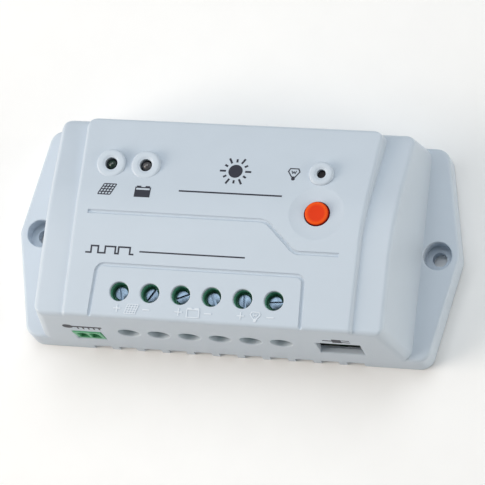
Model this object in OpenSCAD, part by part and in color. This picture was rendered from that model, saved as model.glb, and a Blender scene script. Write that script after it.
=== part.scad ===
// Wall-mounted solar charge controller: moulded cover, metal base, circuit board,
// six screw terminals, three indicator lamps, one push button and two sockets.
// X runs along the length, -Y is the side where the wires enter, +Z points away from the wall.
// The origin is the middle of the mounting face.

/* [Overall] */
// Length over both ears
length = 140; // [125:0.5:175]
// Width at the mounting face
width = 67.5; // [64:0.5:90]
// Height above the mounting face
height = 34; // [33:0.5:45]

/* [Shell] */
// Thickness of the upright walls
wall = 2.4; // [1.6:0.1:3]
// Thickness of the top wall
top_wall = 2.2; // [1.6:0.1:3]
// Thickness of the top wall over the terminal block
thin_top = 1.2; // [0.8:0.1:1.6]
// Lean of the front wall in degrees
front_draft = 4.8; // [0:0.1:6]
// Lean of the back wall in degrees
back_draft = 0.6; // [0:0.1:4]

/* [Ears] */
// Height of the ears
ear_height = 8.3; // [6.5:0.1:10]
// Distance from each tip back to the ear's corners
ear_tip = 6.5; // [4:0.1:9]
// Rounding of the ears' corners
ear_corner_r = 4.5; // [1:0.1:7]
// Rounding of the ears' tips
ear_tip_r = 6; // [1:0.5:12]
// Distance between the two mounting holes
mount_spacing = 126.4; // [108:0.2:160]
// Diameter of each mounting hole
mount_hole_d = 4.5; // [3:0.1:5.5]
// Diameter of the recess for the mounting screw's head
head_recess_d = 8.7; // [7:0.1:9.5]
// Thickness left under the mounting screw's head
ear_floor = 3.4; // [2:0.1:5]

/* [Tiers] */
// Length of the lower tier at the ears
lower_length = 117; // [112:0.5:128]
// Lean of the lower tier's ends in degrees
lower_draft = 10.5; // [2:0.1:12]
// Length of the upper tier along its top
upper_length = 89.2; // [84:0.2:100]
// Lean of the upper tier's ends in degrees
upper_draft = 14; // [5:0.5:30]
// Height of the upper tier above the lower one at the front
tier_step = 1.25; // [0.6:0.05:2]
// Place of the bend where the top starts to fall to the back
bend_y = 2.9; // [-2:0.1:8]
// Radius of that bend
bend_r = 60; // [20:1:80]
// Fall of the upper tier behind the bend in degrees
upper_fall = 14.5; // [5:0.1:18]
// Fall of the lower tier behind the bend in degrees
lower_fall = 18.8; // [5:0.1:20]

/* [Vents] */
// Number of air notches along the front and back edges
vent_count = 11; // [5:1:11]
// Distance from one notch to the next
vent_pitch = 8.04; // [7:0.02:8.4]
// Width of one notch
vent_width = 5.65; // [3:0.05:6]
// Height of one notch
vent_height = 2.8; // [1.5:0.1:4]

/* [Terminals] */
// Number of terminals
terminal_count = 6; // [2:1:6]
// Distance from one terminal to the next
terminal_pitch = 9.58; // [9.2:0.02:11]
// Middle of the row of terminals along X
terminal_x = -3.44; // [-4:0.02:-3]
// Distance from the foot of the front wall to the terminal screws
terminal_inset = 11.15; // [11:0.05:11.4]
// Height of the middle of the wire entries
wire_z = 18.6; // [18.4:0.1:18.8]
// Diameter of the wire entries in the cover
wire_d = 6.8; // [5:0.1:7.4]
// Diameter of the screwdriver holes in the cover
driver_d = 5.9; // [5:0.1:6.4]
// Diameter of the terminal screws' heads
screw_head_d = 4.3; // [3.8:0.1:4.6]
// Diameter of the terminal screws' shanks
screw_shank_d = 3.2; // [2.5:0.1:3.4]
// Depth of the screw heads below the cover's top
screw_sink = 2.9; // [2.4:0.1:3.2]
// Lift of each clamp from open to shut
clamp_travel = 3.6; // [2:0.1:3.6]
// Directions of the screwdriver slots in degrees
slot_angles = [104, 59, 23, 118, 96, 5];

/* [Board] */
// Height of the board's underside
board_z = 8; // [7.8:0.1:8.6]
// Thickness of the board
board_t = 1.6; // [1:0.1:2]
// Thickness of the metal base
base_t = 2.5; // [2:0.1:3]
// Distance between the case screws along X
case_screw_dx = 100; // [96:0.5:102]
// Distance between the case screws along Y
case_screw_dy = 47; // [44:0.5:48]
// Diameter of the case screws' shanks
case_screw_d = 2.9; // [2.5:0.1:3.2]

/* [Indicators and button] */
// Places of the three lamps along X: panel, battery, load
lamp_x = [-35.94, -24.94, 29.9];
// Place of the lamps along Y
lamp_y = 17.75; // [15:0.05:20]
// Diameters of the three lamp windows
lamp_window_d = [3.9, 3.9, 2.8];
// Diameters of the raised rings round the lamps
lamp_ring_d = [9.2, 9.2, 7.6];
// Extra height of the raised rings
lamp_ring_rise = [0, 0, 0.45];
// Diameter of a lamp
lamp_d = 3; // [2.6:0.1:3.2]
// Place of the button along X
button_x = 30.25; // [26:0.05:34]
// Place of the button along Y
button_y = 5; // [2:0.1:7]
// Diameter of the button's cap
button_d = 7.3; // [6:0.1:9]
// Travel of the button
button_travel = 0.6; // [0.3:0.05:1]
// Diameter of the finger dish round the button
dish_d = 17.4; // [14:0.2:19]
// Depth of the finger dish
dish_depth = 0.9; // [0.4:0.1:1.1]

/* [Sockets] */
// Middle of the data socket's window along X
data_x = 38.15; // [37.5:0.05:38.5]
// Width of the data socket's window
data_w = 13.7; // [12.4:0.1:13.8]
// Lower edge of the data socket's window
data_z = 11.7; // [11.4:0.1:12]
// Height of the data socket's window
data_h = 9.8; // [8.6:0.1:10]
// Middle of the sensor socket along X
sensor_x = -41.4; // [-42:0.05:-41.3]
// Width of the sensor socket
sensor_w = 8.8; // [8:0.1:9]
// Height of the sensor socket
sensor_h = 7.7; // [7:0.1:8.4]
// Distance between the sensor socket's two pins
sensor_pitch = 3.81; // [3.5:0.01:4]

/* [Clearances] */
// Gap between pieces that are simply placed together
fit_gap = 0.2; // [0.1:0.05:0.3]
// Gap on each side of a moving piece
slide_gap = 0.3; // [0.2:0.05:0.4]
// Gap between a screw and its thread, on the radius
thread_gap = 0.06; // [0.04:0.01:0.1]

/* [Hidden] */
$fn = 48;
bend_steps = 6;      // flat steps in the bend of the top
corner_steps = 6;    // flat steps in a rounded corner
reach = length;      // longer than anything that it cuts

// Board and base
board_top = board_z + board_t;
board_gap = 1;                       // from the cover's inner walls to the board
standoff_r = 3.4;
case_head_d = 5.6;
case_head_h = 2;
case_screw_bite = 8;                 // length of thread inside the cover
case_boss_r = 3;
hole_play = 0.25;                    // on the radius, where a screw passes freely

// Terminals
terminal_y = terminal_inset - width / 2;
block_top = height - thin_top - fit_gap;
block_depth = 12.6;
screw_top = height - screw_sink;
screw_head_h = 2;
ledge_t = 1;
chamber_top = screw_top - screw_head_h - ledge_t;
chamber_x = 7.2;
chamber_y = 6.6;
bar_t = 1;
bar_w = 4.4;
bar_z = wire_z + 2.2;                // underside of the conductor bar
bar_pin_w = 2;
clamp_wall = 0.7;
clamp_plate = 1.2;
clamp_window = 5;                    // open height under the bar
clamp_x = chamber_x - 2 * slide_gap;
clamp_y = chamber_y - 2 * slide_gap;
clamp_nut_t = 1.6;
clamp_nut_z = bar_z + bar_t + 0.25;
clamp_low = bar_z - clamp_window - clamp_plate;
slot_w = 0.8;
slot_depth = 0.9;
well_r = driver_d / 2 - 0.1;
wire_tunnel_r = wire_d / 2 - 0.4;

// Lamps and button
lead_spacing = 2.54;
lead_w = 0.5;
spacer_d = 4.6;
lamp_len = 5.2;
lamp_flange_d = lamp_d + 0.8;
lamp_flange_h = 1;
lead_tail = 1.6;                     // wire below the board
button_play = 0.35;
button_rise = 0.8;                   // cap above the bottom of the dish
button_flange_d = button_d + 2.2;
button_flange_t = 1.2;
button_stem_d = 4;
switch_w = 6.2;
switch_h = 3.6;
plunger_d = 3.4;
plunger_h = 1.6;

// Sockets
data_body_w = 15.9;
data_body_h = 13.2;
data_depth = 15.5;
data_skin = 1.1;
contact_count = 8;
contact_pitch = 1.02;
sensor_depth = 9.2;
sensor_skin = 0.9;
sensor_floor_t = 2;
pin_w = 1;

// Power parts between base and board
pad_t = 0.5;
transistor_xs = [-33, -13, 7, 27];
transistor_y = 4;
transistor_w = 10;
transistor_l = 15;
transistor_t = board_z - base_t - pad_t - 0.5;
capacitor_d = 10;
capacitor_h = 15;
capacitor_xs = [-12, 2];
capacitor_y = 10;
capacitor_pitch = 5;

function terminal_xs() =
    [for (i = [0 : terminal_count - 1]) terminal_x + (i - (terminal_count - 1) / 2) * terminal_pitch];
function front_y(z) = -(width / 2 - tan(front_draft) * z);
function back_y(z) = width / 2 - tan(back_draft) * z;
function top_z(flat, fall, y) = flat - max(0, y - bend_y) * tan(fall);
function upper_z(y) = top_z(height, upper_fall, y);

// Points of an arc that rounds the corner b between a and c
function unit(v) = v / norm(v);
function corner_arc(a, b, c, r) =
    let (u = unit(a - b), v = unit(c - b), half = acos(u * v) / 2)
    let (start = b + u * (r / tan(half)), finish = b + v * (r / tan(half)))
    let (centre = b + unit(u + v) * (r / sin(half)))
    [for (i = [0 : corner_steps])
        centre + r * unit((start - centre) * (1 - i / corner_steps) + (finish - centre) * i / corner_steps)];
function rounded(points, radii) =
    let (n = len(points))
    [for (i = [0 : n - 1])
        each corner_arc(points[(i + n - 1) % n], points[i], points[(i + 1) % n], radii[i])];

// Six-sided outline of the ears and base, pulled in by inset
function ear_outline(inset) =
    let (slope = atan(width / 2 / ear_tip), tip = length / 2 + ear_tip_r * (1 / sin(slope) - 1) - inset)
    let (shoulder = length / 2 - ear_tip - inset, half = width / 2 - inset)
    rounded([[tip, 0], [shoulder, half], [-shoulder, half], [-tip, 0], [-shoulder, -half], [shoulder, -half]],
        [for (i = [0 : 5]) max(0.5, (i % 3 == 0 ? ear_tip_r : ear_corner_r) - inset)]);

// Side view of a tier's top: level, bend, fall to the back. It runs past the front and back walls.
function tier_top(flat, fall) =
    let (tangent = bend_r * tan(fall / 2), far = width / 2 + 5)
    concat(
        [[-far, -2], [-far, flat]],
        [for (i = [0 : bend_steps]) let (a = fall * i / bend_steps)
            [bend_y - tangent + bend_r * sin(a), flat - bend_r * (1 - cos(a))]],
        [[far, top_z(flat, fall, far)], [far, -2]]);

module along_x(points) {
    rotate([90, 0, 90]) linear_extrude(reach, center = true) polygon(points);
}

module along_y(points) {
    rotate([90, 0, 0]) linear_extrude(reach, center = true) polygon(points);
}

// Keeps what lies between the front and back walls' outer faces, pulled in by side
module between_walls(side) {
    low = side > 0 ? -1 : 0;
    high = height + 1;
    intersection() {
        along_x([[front_y(low) + side, low], [front_y(high) + side, high],
            [back_y(high) - side, high], [back_y(low) - side, low]]);
        union() children();
    }
}

// A tier whose ends lean in from half on each side of the middle
module tier(half, draft, flat, fall) {
    top = height + 1;
    lean = tan(draft) * (top - ear_height);
    intersection() {
        along_x(tier_top(flat, fall));
        along_y([[-half, -2], [half, -2], [half, ear_height],
            [half - lean, top], [-half + lean, top], [-half, ear_height]]);
    }
}

module tiers(side, under) {
    foot = upper_length / 2 + tan(upper_draft) * (height - ear_height);
    tier(lower_length / 2 - side, lower_draft, height - tier_step - under, lower_fall);
    tier(foot - side, upper_draft, height - under, upper_fall);
}

// Flat slab under both ears and the tiers
module ear_slab(side, under) {
    translate([0, 0, -2]) linear_extrude(ear_height - under + 2) polygon(ear_outline(side));
}

module at_mounts() {
    for (s = [-1, 1]) translate([s * mount_spacing / 2, 0, 0]) children();
}

module at_case_screws() {
    for (sx = [-1, 1], sy = [-1, 1])
        translate([sx * case_screw_dx / 2, sy * case_screw_dy / 2, 0]) children();
}

module at_terminals() {
    for (x = terminal_xs()) translate([x, terminal_y, 0]) children();
}

module tube(r, z0, z1) {
    translate([0, 0, z0]) cylinder(r = r, h = z1 - z0);
}

// Row of air notches through one long wall
module vents(y, depth, z1) {
    for (i = [0 : vent_count - 1])
        translate([(i - (vent_count - 1) / 2) * vent_pitch - vent_width / 2, y, -1])
            cube([vent_width, depth, z1 + 1]);
}

module ear_ribs() {
    rib = 1.4;
    for (s = [-1, 1], a = [-60, 60])
        translate([s * mount_spacing / 2, 0, 0]) rotate([0, 0, a])
            translate([-reach / 10, -rib / 2, 0]) cube([reach / 5, rib, ear_height - top_wall / 2]);
}

module lamp_rings() {
    for (i = [0 : len(lamp_x) - 1]) {
        r = lamp_ring_d[i] / 2;
        translate([lamp_x[i], lamp_y, 0])
            tube(r, upper_z(lamp_y) - top_wall, upper_z(lamp_y - r) + lamp_ring_rise[i]);
    }
}

// Hollow ears with a boss and ribs round each mounting hole
module ears() {
    between_walls(0) difference() {
        union() {
            difference() {
                ear_slab(0, 0);
                between_walls(wall) ear_slab(wall, top_wall);
            }
            intersection() {
                ear_slab(0, 0);
                union() {
                    at_mounts() cylinder(d = head_recess_d + 2 * top_wall, h = ear_height);
                    ear_ribs();
                }
            }
        }
        at_mounts() {
            tube(mount_hole_d / 2, -1, ear_height);
            tube(head_recess_d / 2, ear_floor, ear_height + 1);
        }
    }
}

module case_bosses() {
    intersection() {
        between_walls(0) tiers(0, 0);
        at_case_screws() tube(case_boss_r, board_top, height);
    }
}

module block_relief() {
    xs = terminal_xs();
    x0 = xs[0] - terminal_pitch / 2 - fit_gap;
    x1 = xs[terminal_count - 1] + terminal_pitch / 2 + fit_gap;
    translate([x0, block_front() - fit_gap, height / 2])
        cube([x1 - x0, block_depth + 2 * fit_gap, height / 2 - thin_top]);
}

function block_front() = front_y(block_top) + wall + fit_gap;

module finger_dish() {
    r = (pow(dish_d / 2, 2) + pow(dish_depth, 2)) / (2 * dish_depth);
    translate([button_x, button_y, upper_z(button_y) + r - dish_depth])
        sphere(r = r, $fn = 120);
}

module top_cover() {
    color([0.80, 0.84, 0.88]) difference() {
        union() {
            difference() {
                union() {
                    ears();
                    between_walls(0) tiers(0, 0);
                    lamp_rings();
                }
                between_walls(wall) tiers(wall, top_wall);
            }
            case_bosses();
        }
        block_relief();
        at_case_screws() tube(case_screw_d / 2 + thread_gap, board_top - 1, board_top + case_screw_bite + 1);
        at_terminals() tube(driver_d / 2, height / 2, height + 1);
        for (x = terminal_xs()) translate([x, front_y(wire_z) - 3, wire_z])
            rotate([-90, 0, 0]) cylinder(d = wire_d, h = wall + 6);
        translate([data_x - data_w / 2, -width, data_z])
            cube([data_w, width + front_y(data_z) + wall + 3, data_h]);
        translate([sensor_x - sensor_w / 2 - fit_gap, -width, board_top])
            cube([sensor_w + 2 * fit_gap, width + front_y(board_top) + wall + 3, sensor_h + fit_gap]);
        for (i = [0 : len(lamp_x) - 1]) translate([lamp_x[i], lamp_y, 0])
            tube(lamp_window_d[i] / 2, height / 2, height + 1);
        translate([button_x, button_y, 0]) tube(button_d / 2 + button_play, height / 2, height + 1);
        finger_dish();
        vents(-width / 2 - 2, wall + 4, vent_height);
        vents(width / 2 - wall - 2, wall + 4, vent_height);
    }
}

module base_plate() {
    half_x = lower_length / 2 - wall - fit_gap;
    half_y = -front_y(base_t) - wall - fit_gap;
    air_gap = 3;
    color([0.70, 0.71, 0.73]) difference() {
        union() {
            translate([-half_x, -half_y, 0]) cube([2 * half_x, 2 * half_y, base_t]);
            at_case_screws() tube(standoff_r, 0, board_z);
        }
        at_case_screws() {
            tube(case_screw_d / 2 + hole_play, -1, board_z + 1);
            tube(case_head_d / 2 + hole_play, -1, case_head_h + fit_gap);
        }
        vents(-half_y - 1, air_gap + 1, base_t + 1);
        vents(half_y - air_gap, air_gap + 1, base_t + 1);
    }
}

module case_screws() {
    color([0.66, 0.67, 0.68]) at_case_screws() difference() {
        union() {
            tube(case_head_d / 2, fit_gap, case_head_h + fit_gap);
            tube(case_screw_d / 2, fit_gap, board_top + case_screw_bite);
        }
        translate([0, 0, -1]) for (a = [0, 90]) rotate([0, 0, a])
            translate([-case_head_d / 3, -slot_w / 2, 0]) cube([2 * case_head_d / 3, slot_w, 2.2]);
    }
}

module circuit_board() {
    half_x = lower_length / 2 - tan(lower_draft) * max(0, board_top - ear_height) - wall - board_gap;
    front = front_y(board_z) + wall + board_gap;
    back = back_y(board_top) - wall - board_gap;
    hole_r = 0.7;
    color([0.10, 0.32, 0.18]) difference() {
        translate([-half_x, front, board_z]) cube([2 * half_x, back - front, board_t]);
        at_case_screws() tube(case_screw_d / 2 + hole_play, board_z - 1, board_top + 1);
        at_terminals() translate([-bar_pin_w / 2 - fit_gap, bar_back() - bar_t - fit_gap, board_z - 1])
            cube([bar_pin_w + 2 * fit_gap, bar_t + 2 * fit_gap, board_t + 2]);
        for (x = lamp_x, s = [-1, 1]) translate([x + s * lead_spacing / 2, lamp_y, 0])
            tube(hole_r, board_z - 1, board_top + 1);
        for (x = capacitor_xs, s = [-1, 1]) translate([x + s * capacitor_pitch / 2, capacitor_y, 0])
            tube(hole_r, board_z - 1, board_top + 1);
        at_transistor_legs() tube(hole_r + 0.1, board_z - 1, board_top + 1);
        for (s = [-1, 1]) translate([sensor_x + s * sensor_pitch / 2, sensor_back() + 1, 0])
            tube(hole_r + 0.2, board_z - 1, board_top + 1);
    }
}

// Conductor bars end at this distance behind the screws
function bar_back() = chamber_y / 2 + 2.6;

module clamp_chamber() {
    translate([-chamber_x / 2, -chamber_y / 2, clamp_low - slide_gap])
        cube([chamber_x, chamber_y, chamber_top - clamp_low + slide_gap]);
}

module conductor_bar(gap) {
    w = bar_w / 2 + gap;
    translate([-w, -chamber_y / 2 - 0.8 - gap, bar_z - gap])
        cube([2 * w, chamber_y / 2 + 0.8 + bar_back() + 2 * gap, bar_t + 2 * gap]);
}

module conductor_pin(gap, z0) {
    w = bar_pin_w / 2 + gap;
    translate([-w, bar_back() - bar_t - gap, z0])
        cube([2 * w, bar_t + 2 * gap, bar_z + bar_t - z0]);
}

module terminal_block() {
    xs = terminal_xs();
    x0 = xs[0] - terminal_pitch / 2;
    color([0.16, 0.50, 0.33]) difference() {
        translate([x0, block_front(), board_top])
            cube([terminal_count * terminal_pitch, block_depth, block_top - board_top]);
        at_terminals() {
            tube(well_r, screw_top - screw_head_h, block_top + 1);
            tube(screw_shank_d / 2 + hole_play, chamber_top - 1, screw_top);
            clamp_chamber();
            conductor_bar(0.05);
            conductor_pin(0.05, board_top - 1);
            translate([0, 0, wire_z]) rotate([90, 0, 0]) cylinder(r = wire_tunnel_r, h = block_depth);
        }
    }
}

module terminal_bars() {
    color([0.80, 0.78, 0.74]) at_terminals() union() {
        conductor_bar(0);
        conductor_pin(0, board_z - lead_tail);
    }
}

module terminal_screw(i) {
    color([0.74, 0.77, 0.80]) translate([terminal_xs()[i], terminal_y, 0]) difference() {
        union() {
            tube(screw_head_d / 2, screw_top - screw_head_h, screw_top);
            tube(screw_shank_d / 2, bar_z + bar_t + fit_gap, screw_top - screw_head_h / 2);
        }
        rotate([0, 0, slot_angles[i]]) translate([-screw_head_d, -slot_w / 2, screw_top - slot_depth])
            cube([2 * screw_head_d, slot_w, slot_depth + 1]);
    }
}

module wire_clamp(i) {
    color([0.80, 0.78, 0.74]) translate([terminal_xs()[i], terminal_y, 0]) difference() {
        translate([-clamp_x / 2, -clamp_y / 2, clamp_low])
            cube([clamp_x, clamp_y, clamp_nut_z + clamp_nut_t - clamp_low]);
        translate([-clamp_x / 2 + clamp_wall, -clamp_y, clamp_low + clamp_plate])
            cube([clamp_x - 2 * clamp_wall, 2 * clamp_y, clamp_nut_z - clamp_low - clamp_plate]);
        tube(screw_shank_d / 2 + thread_gap, clamp_nut_z - 1, clamp_nut_z + clamp_nut_t + 1);
    }
}

// Lamp tips stand just inside their windows, or just under a window smaller than the lamp
function lamp_tip(i) =
    let (z = upper_z(lamp_y - lamp_ring_d[i] / 2) + lamp_ring_rise[i])
    lamp_window_d[i] > lamp_d + 2 * fit_gap ? z - 0.7 : upper_z(lamp_y + lamp_d / 2) - top_wall - fit_gap;

module lamp(i, tint) {
    tip = lamp_tip(i);
    r = lamp_d / 2;
    color(tint) translate([lamp_x[i], lamp_y, 0]) union() {
        tube(r, tip - lamp_len, tip - r);
        translate([0, 0, tip - r]) rotate_extrude() intersection() {
            circle(r = r);
            square(2 * r);
        }
        tube(lamp_flange_d / 2, tip - lamp_len, tip - lamp_len + lamp_flange_h);
    }
}

module panel_lamp() { lamp(0, [0.08, 0.20, 0.12]); }
module battery_lamp() { lamp(1, [0.42, 0.40, 0.37]); }
module load_lamp() { lamp(2, [0.14, 0.10, 0.11]); }

module lamp_leads() {
    color([0.78, 0.78, 0.76]) for (i = [0 : len(lamp_x) - 1], s = [-1, 1])
        translate([lamp_x[i] + s * lead_spacing / 2 - lead_w / 2, lamp_y - lead_w / 2, board_z - lead_tail])
            cube([lead_w, lead_w, lamp_tip(i) - lamp_len - board_z + lead_tail]);
}

module lamp_spacers() {
    color([0.08, 0.08, 0.09]) for (i = [0 : len(lamp_x) - 1]) translate([lamp_x[i], lamp_y, 0]) difference() {
        tube(spacer_d / 2, board_top, lamp_tip(i) - lamp_len);
        for (s = [-1, 1]) translate([s * lead_spacing / 2, 0, 0]) tube(0.45, board_top - 1, height);
    }
}

function dish_z() = upper_z(button_y) - dish_depth;
function plunger_top() = board_top + switch_h + plunger_h;

module button_cap() {
    flange_top = upper_z(button_y + button_flange_d / 2) - top_wall - slide_gap;
    round_r = 0.6;
    r = button_d / 2;
    top = dish_z() + button_rise;
    color([0.87, 0.27, 0.08]) translate([button_x, button_y, 0]) rotate_extrude() polygon(concat(
        [[0, plunger_top()], [button_stem_d / 2, plunger_top()],
        [button_stem_d / 2, flange_top - button_flange_t], [button_flange_d / 2, flange_top - button_flange_t],
        [button_flange_d / 2, flange_top], [r, flange_top]],
        [for (a = [0 : 22.5 : 90]) [r - round_r + round_r * cos(a), top - round_r + round_r * sin(a)]],
        [[0, top]]));
}

module switch_plunger() {
    color([0.10, 0.10, 0.10]) translate([button_x, button_y, 0])
        tube(plunger_d / 2, board_top + switch_h - button_travel - 0.4, plunger_top());
}

module switch_body() {
    color([0.16, 0.16, 0.17]) translate([button_x, button_y, 0]) difference() {
        translate([-switch_w / 2, -switch_w / 2, board_top]) cube([switch_w, switch_w, switch_h]);
        tube(plunger_d / 2 + slide_gap, board_top + switch_h - 2 * button_travel - 0.8, height);
    }
}

function data_front() = front_y(board_top + data_body_h) + wall + fit_gap;
function data_cavity_z() = data_z + 0.4;

module data_socket() {
    cavity_w = data_w - 1.2;
    cavity_h = data_h - 1.6;
    latch_w = 6;
    color([0.12, 0.12, 0.13]) difference() {
        translate([data_x - data_body_w / 2, data_front(), board_top])
            cube([data_body_w, data_depth, data_body_h]);
        translate([data_x - cavity_w / 2, data_front() - 1, data_cavity_z()])
            cube([cavity_w, data_depth - data_skin + 1, cavity_h]);
        translate([data_x - latch_w / 2, data_front() - 1, data_cavity_z() - 1.4])
            cube([latch_w, data_depth - data_skin - 3, cavity_h]);
    }
}

module data_contacts() {
    contact_w = 0.4;
    contact_l = 8;
    roof = data_cavity_z() + data_h - 1.6;
    color([0.85, 0.70, 0.30]) for (i = [0 : contact_count - 1])
        translate([data_x + (i - (contact_count - 1) / 2) * contact_pitch - contact_w / 2, 0, 0]) union() {
            translate([0, data_front() + 2, roof - contact_w]) cube([contact_w, contact_l, contact_w]);
            translate([0, data_front() + 2 + contact_l - contact_w, roof - 3]) cube([contact_w, contact_w, 3]);
        }
}

function sensor_front() = front_y(board_top + sensor_h / 2);
function sensor_back() = sensor_front() + sensor_depth;

module sensor_socket() {
    arch_w = sensor_pitch - 0.7;
    arch_z = board_top + sensor_skin;
    arch_h = sensor_h - 2.2 * sensor_skin - 1.2;
    color([0.30, 0.66, 0.46]) difference() {
        translate([sensor_x - sensor_w / 2, sensor_front(), board_top])
            cube([sensor_w, sensor_depth, sensor_h]);
        for (s = [-1, 1]) translate([sensor_x + s * sensor_pitch / 2, sensor_front() - 1, 0]) {
            translate([-arch_w / 2, 0, arch_z]) cube([arch_w, sensor_depth - sensor_floor_t + 1, arch_h]);
            translate([0, 0, arch_z + arch_h]) rotate([-90, 0, 0])
                cylinder(d = arch_w, h = sensor_depth - sensor_floor_t + 1);
            sensor_pin(0.05);
        }
    }
}

// Pin that lies along the socket and turns down through the board behind it
module sensor_pin(gap) {
    z = board_top + sensor_h / 2 - 0.4;
    w = pin_w / 2 + gap;
    translate([-w, 4, z - w]) cube([2 * w, sensor_depth - 1, 2 * w]);
}

module sensor_pins() {
    z = board_top + sensor_h / 2 - 0.4;
    color([0.80, 0.80, 0.78]) for (s = [-1, 1]) union() {
        translate([sensor_x + s * sensor_pitch / 2, sensor_front() - 1, 0]) sensor_pin(0);
        translate([sensor_x + s * sensor_pitch / 2 - pin_w / 2, sensor_back() + 0.5, board_z - lead_tail])
            cube([pin_w, pin_w, z + pin_w / 2 - board_z + lead_tail]);
    }
}

module at_transistors() {
    for (x = transistor_xs) translate([x, transistor_y, base_t + pad_t]) children();
}

// The legs leave the front of each transistor and turn up through the board
module at_transistor_legs() {
    for (x = transistor_xs, s = [-1, 0, 1])
        translate([x + s * lead_spacing, transistor_y - transistor_l / 2 - 2.2, 0]) children();
}

module thermal_pad() {
    span = transistor_xs[len(transistor_xs) - 1] - transistor_xs[0] + transistor_w + 4;
    x0 = transistor_xs[0] - transistor_w / 2 - 2;
    color([0.62, 0.66, 0.72])
        translate([x0, transistor_y - transistor_l / 2 - 0.5, base_t]) cube([span, transistor_l + 1, pad_t]);
}

module power_transistors() {
    tab_t = 1.3;
    body_l = 9.2;
    color([0.13, 0.13, 0.14]) at_transistors() difference() {
        union() {
            translate([-transistor_w / 2, -transistor_l / 2, 0]) cube([transistor_w, transistor_l, tab_t]);
            translate([-transistor_w / 2, -transistor_l / 2, 0]) cube([transistor_w, body_l, transistor_t]);
        }
        translate([0, transistor_l / 2 - 3, 0]) tube(1.8, -1, tab_t + 1);
    }
}

module transistor_leads() {
    leg = 0.7;
    z = base_t + pad_t + 1.6;
    color([0.78, 0.78, 0.76]) at_transistor_legs() union() {
        translate([-leg / 2, -leg / 2, z]) cube([leg, 2.2 + leg / 2, leg]);
        translate([-leg / 2, -leg / 2, z]) cube([leg, leg, board_top + 0.8 - z]);
    }
}

module capacitors() {
    color([0.12, 0.13, 0.20]) for (x = capacitor_xs) translate([x, capacitor_y, 0])
        rotate_extrude() polygon([[0, board_top], [capacitor_d / 2, board_top],
            [capacitor_d / 2, board_top + 1.6], [capacitor_d / 2 - 0.4, board_top + 2],
            [capacitor_d / 2, board_top + 2.4], [capacitor_d / 2, board_top + capacitor_h - 0.5],
            [capacitor_d / 2 - 0.5, board_top + capacitor_h], [0, board_top + capacitor_h]]);
}

module capacitor_leads() {
    color([0.78, 0.78, 0.76]) for (x = capacitor_xs, s = [-1, 1])
        translate([x + s * capacitor_pitch / 2, capacitor_y, 0]) tube(0.35, board_z - lead_tail, board_top);
}

module chip(x, y, w, l, t) {
    translate([x - w / 2, y - l / 2, board_top]) cube([w, l, t]);
}

module microcontroller() {
    color([0.10, 0.10, 0.11]) chip(17, -4, 7, 7, 1.4);
}

module driver_chips() {
    color([0.10, 0.10, 0.11]) {
        chip(-2, 0, 4, 5, 1.5);
        chip(5, 0, 4, 5, 1.5);
    }
}

module surge_diode() {
    color([0.10, 0.10, 0.11]) chip(-32, 1, 7, 6, 2.4);
}

// Bridge of resistance alloy that stands on the board on two feet
module current_shunt() {
    color([0.62, 0.52, 0.42]) translate([-18, -5, board_top]) difference() {
        translate([-7, -1.5, 0]) cube([14, 3, 4]);
        translate([-5.8, -2, -1]) cube([11.6, 4, 3.8]);
    }
}

top_cover();
base_plate();
case_screws();
circuit_board();
terminal_block();
terminal_bars();
terminal_screw(0);  // terminal_screw_1
terminal_screw(1);  // terminal_screw_2
terminal_screw(2);  // terminal_screw_3
terminal_screw(3);  // terminal_screw_4
terminal_screw(4);  // terminal_screw_5
terminal_screw(5);  // terminal_screw_6
wire_clamp(0);  // wire_clamp_1
wire_clamp(1);  // wire_clamp_2
wire_clamp(2);  // wire_clamp_3
wire_clamp(3);  // wire_clamp_4
wire_clamp(4);  // wire_clamp_5
wire_clamp(5);  // wire_clamp_6
panel_lamp();
battery_lamp();
load_lamp();
lamp_leads();
lamp_spacers();
button_cap();
switch_plunger();
switch_body();
data_socket();
data_contacts();
sensor_socket();
sensor_pins();
power_transistors();
transistor_leads();
thermal_pad();
capacitors();
capacitor_leads();
microcontroller();
driver_chips();
surge_diode();
current_shunt();
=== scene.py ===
# Wall-mounted solar charge controller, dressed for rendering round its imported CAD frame.
# Shapes are made in millimetres, and settle() scales each finished mesh to metres.
import math

import bmesh
import bpy
from mathutils import Matrix, Vector


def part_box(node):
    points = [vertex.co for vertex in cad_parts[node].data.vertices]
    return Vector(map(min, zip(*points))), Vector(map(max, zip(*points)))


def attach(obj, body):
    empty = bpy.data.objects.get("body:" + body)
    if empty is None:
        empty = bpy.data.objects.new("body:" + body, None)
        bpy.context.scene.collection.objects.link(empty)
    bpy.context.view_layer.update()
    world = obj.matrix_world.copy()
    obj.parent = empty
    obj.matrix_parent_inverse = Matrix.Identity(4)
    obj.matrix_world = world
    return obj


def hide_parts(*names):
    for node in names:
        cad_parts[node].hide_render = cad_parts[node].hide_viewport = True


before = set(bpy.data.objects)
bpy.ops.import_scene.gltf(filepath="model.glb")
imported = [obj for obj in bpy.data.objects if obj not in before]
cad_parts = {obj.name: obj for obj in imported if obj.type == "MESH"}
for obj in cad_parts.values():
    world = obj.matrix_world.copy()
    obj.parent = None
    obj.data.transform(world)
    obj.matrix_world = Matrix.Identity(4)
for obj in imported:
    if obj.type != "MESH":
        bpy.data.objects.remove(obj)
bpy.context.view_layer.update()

MM = 0.001

# ---------------------------------------------------------------- sizes, in millimetres

LENGTH, WIDTH, HEIGHT = 140.0, 67.5, 34.0
WALL, TOP_WALL, THIN_TOP = 2.4, 2.2, 1.2
FRONT_SLOPE = math.tan(math.radians(4.8))
BACK_SLOPE = math.tan(math.radians(0.6))

EAR_HEIGHT = 8.3
EAR_TIP = 6.5
EAR_CORNER_R = 4.5
EAR_TIP_R = 6.0
EAR_EDGE_R = 0.9
MOUNT_X = 63.2
MOUNT_HOLE_R = 2.25
HEAD_RECESS_R = 4.35
EAR_FLOOR = 3.4
SEAM = 0.03                          # keeps walls that meet in one plane apart while they are joined

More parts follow.
